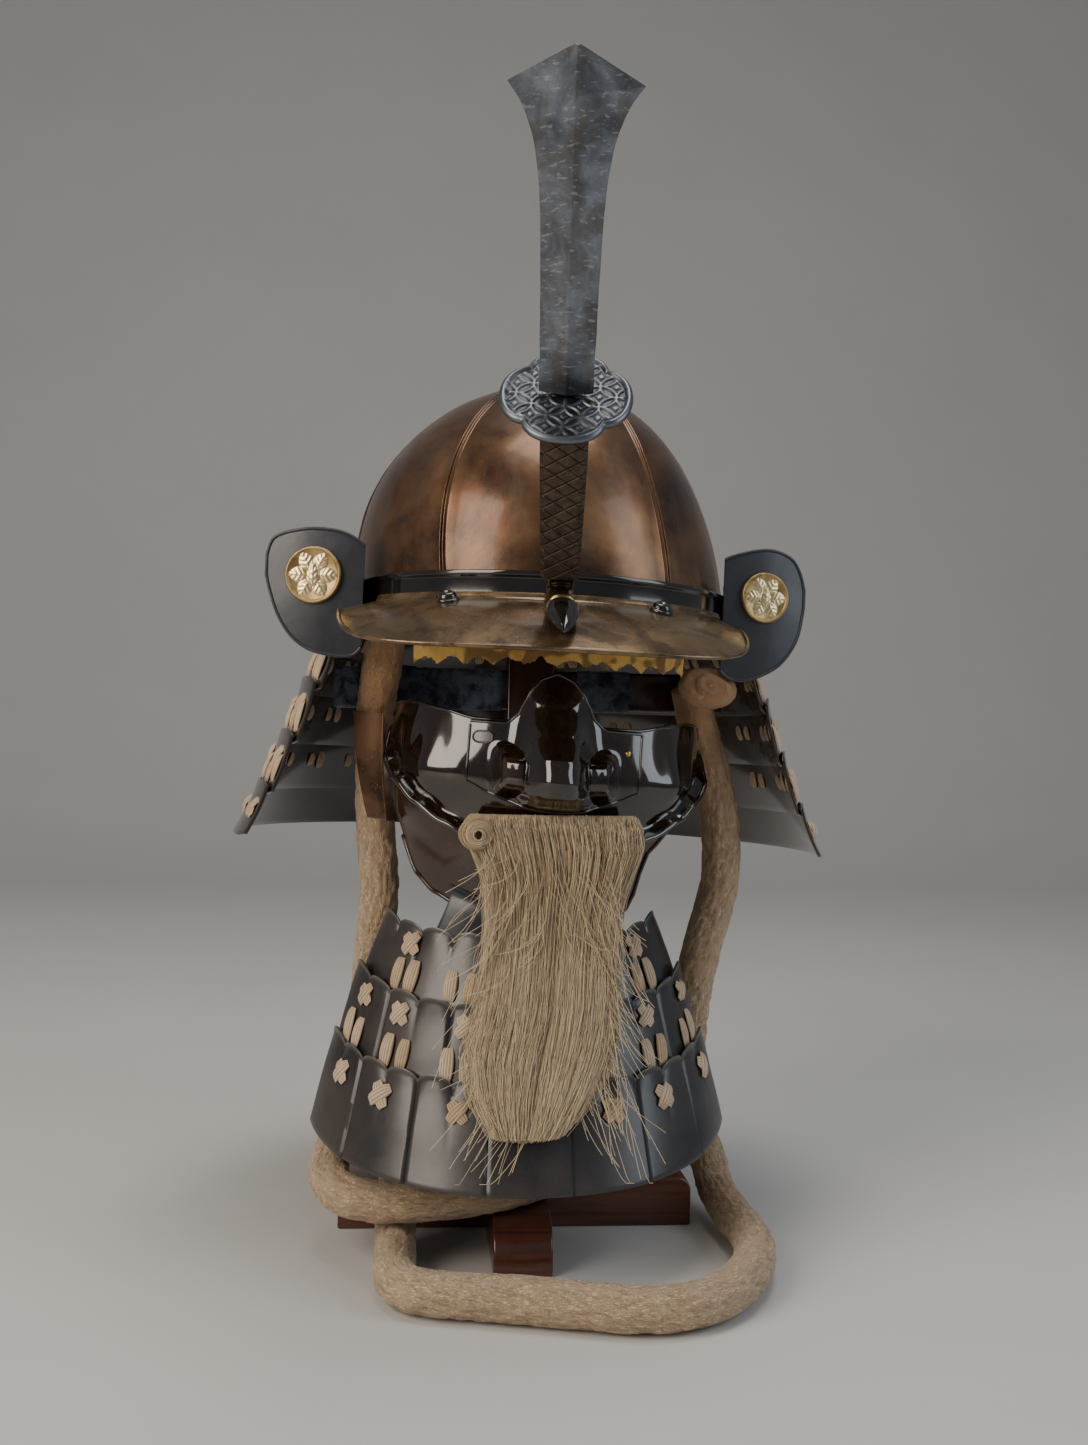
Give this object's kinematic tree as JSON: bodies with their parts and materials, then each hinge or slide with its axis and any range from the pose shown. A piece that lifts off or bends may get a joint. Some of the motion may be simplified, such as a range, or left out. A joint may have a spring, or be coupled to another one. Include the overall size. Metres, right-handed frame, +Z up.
{
  "type": "samurai helmet with half mask and throat guard on a wooden stand",
  "caption": "Old samurai helmet with a sword-shaped crest, lacquered half mask with a horsehair beard, laced throat guard and crepe chin cord, on a plain wooden cross stand.",
  "frame": {"origin": "floor level under the middle of the stand's cross", "axes": "+Z up, the helmet faces -Y, +X to the right of someone facing it"},
  "size_m": [0.3435, 0.4823, 0.559],
  "materials": {
    "bowl_lacquer": "worn brown lacquered iron",
    "black_lacquer": "black lacquer",
    "neck_guard_lacquer": "dark lacquer, orange lit lacing",
    "crest_steel": "dark blued steel, engraved",
    "brass": "pale chased brass",
    "mask_lacquer": "glossy brown-black lacquer",
    "wing_leather": "blue-black lacquered leather",
    "throat_guard_lacquer": "satin slate lacquer",
    "cord_crepe": "crinkled crepe silk",
    "horsehair": "pale horsehair",
    "stand_wood": "dark red-brown lacquered wood",
    "lining_leather": "yellow lining, torn edge"
  },
  "bodies": {
    "root": {"bowl_plate_front": "bowl_lacquer", "bowl_plate_front_right": "bowl_lacquer", "bowl_plate_back_right": "bowl_lacquer", "bowl_plate_back": "bowl_lacquer", "bowl_plate_back_left": "bowl_lacquer", "bowl_plate_front_left": "bowl_lacquer", "crown_boss": "bowl_lacquer", "peak": "bowl_lacquer", "waist_band": "black_lacquer", "crest_hook": "black_lacquer", "hook_acorn": "black_lacquer", "peak_rivet_left": "black_lacquer", "peak_rivet_right": "black_lacquer", "neck_lame_1": "neck_guard_lacquer", "neck_lame_2": "neck_guard_lacquer", "neck_lame_3": "neck_guard_lacquer", "neck_lame_4": "neck_guard_lacquer", "neck_lame_5": "neck_guard_lacquer", "crest_blade": "crest_steel", "crest_guard": "crest_steel", "crest_hilt": "crest_steel", "wing_disc_left": "brass", "wing_disc_right": "brass", "mask_cheeks": "mask_lacquer", "mask_jaw": "mask_lacquer", "mask_nose": "mask_lacquer", "mask_side_plate": "mask_lacquer", "wing_left": "wing_leather", "wing_right": "wing_leather", "throat_strap": "wing_leather", "throat_lame_1": "throat_guard_lacquer", "throat_lame_2": "throat_guard_lacquer", "throat_lame_3": "throat_guard_lacquer", "helmet_cord": "cord_crepe", "cord_knot": "cord_crepe", "beard": "horsehair", "stand_plank": "stand_wood", "stand_foot": "stand_wood", "stand_post": "stand_wood", "stand_bar": "stand_wood", "head_block": "stand_wood", "mask_rest": "stand_wood", "brow_lining": "lining_leather"}
  },
  "joints": []
}
